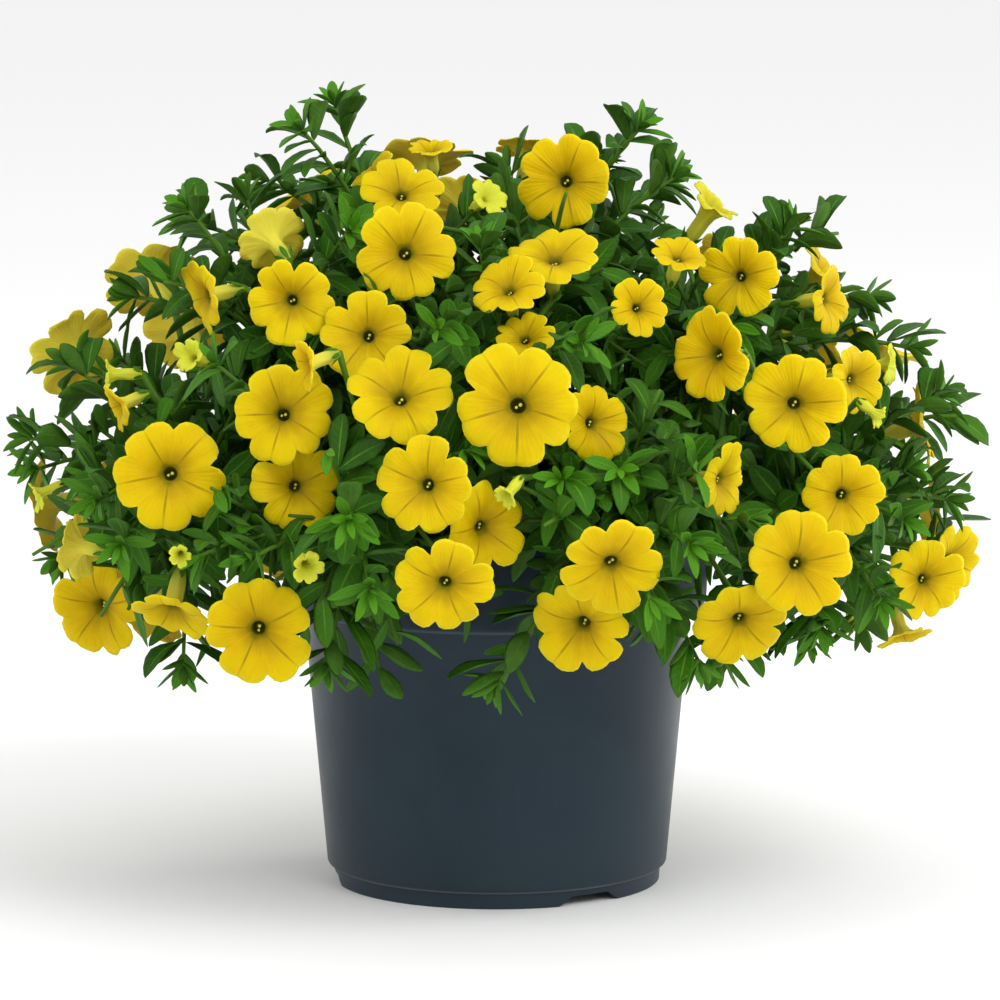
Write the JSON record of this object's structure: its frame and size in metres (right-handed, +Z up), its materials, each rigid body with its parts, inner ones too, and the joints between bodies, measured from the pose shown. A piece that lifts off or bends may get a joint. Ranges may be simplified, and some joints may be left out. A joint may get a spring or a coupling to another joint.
{
  "type": "potted flower",
  "caption": "Bushy mounding bedding flower with many yellow trumpet blooms, standing in a round dark plastic nursery pot with a deep collar",
  "frame": {"origin": "centre of the pot's foot, on the ground, and the middle of the plant's width and depth", "axes": "+Z up; -Y towards the viewer of the picture; +X to the viewer's right"},
  "size_m": [0.3229, 0.3236, 0.2631],
  "materials": {
    "pot_plastic": "smooth moulded, soft sheen",
    "soil": "rough, crumbly",
    "petal": "soft matt petal",
    "leaf": "finely haired leaf, low sheen"
  },
  "bodies": {
    "root": {"blooms_01": "petal", "blooms_02": "petal", "blooms_03": "petal", "blooms_04": "petal", "blooms_05": "petal", "blooms_06": "petal", "blooms_07": "petal", "blooms_08": "petal", "blooms_09": "petal", "blooms_10": "petal", "blooms_11": "petal", "blooms_12": "petal", "blooms_13": "petal", "blooms_14": "petal", "blooms_15": "petal", "blooms_16": "petal", "blooms_17": "petal", "blooms_18": "petal", "blooms_19": "petal", "blooms_20": "petal", "blooms_21": "petal", "blooms_22": "petal", "blooms_23": "petal", "blooms_24": "petal", "blooms_25": "petal", "blooms_26": "petal", "blooms_27": "petal", "blooms_28": "petal", "blooms_29": "petal", "blooms_30": "petal", "blooms_31": "petal", "blooms_32": "petal", "blooms_33": "petal", "blooms_34": "petal", "blooms_35": "petal", "blooms_36": "petal", "blooms_37": "petal", "blooms_38": "petal", "blooms_39": "petal", "blooms_40": "petal", "blooms_41": "petal", "blooms_42": "petal", "leafy_head_01": "leaf", "leafy_head_02": "leaf", "leafy_head_03": "leaf", "leafy_head_04": "leaf", "leafy_head_05": "leaf", "leafy_head_06": "leaf", "leafy_head_07": "leaf", "leafy_head_08": "leaf", "leafy_head_09": "leaf", "leafy_head_10": "leaf", "leafy_head_11": "leaf", "leafy_head_12": "leaf", "leafy_head_13": "leaf", "leafy_head_14": "leaf", "leafy_head_15": "leaf", "leafy_head_16": "leaf", "pot": "pot_plastic", "soil": "soil"}
  },
  "joints": []
}
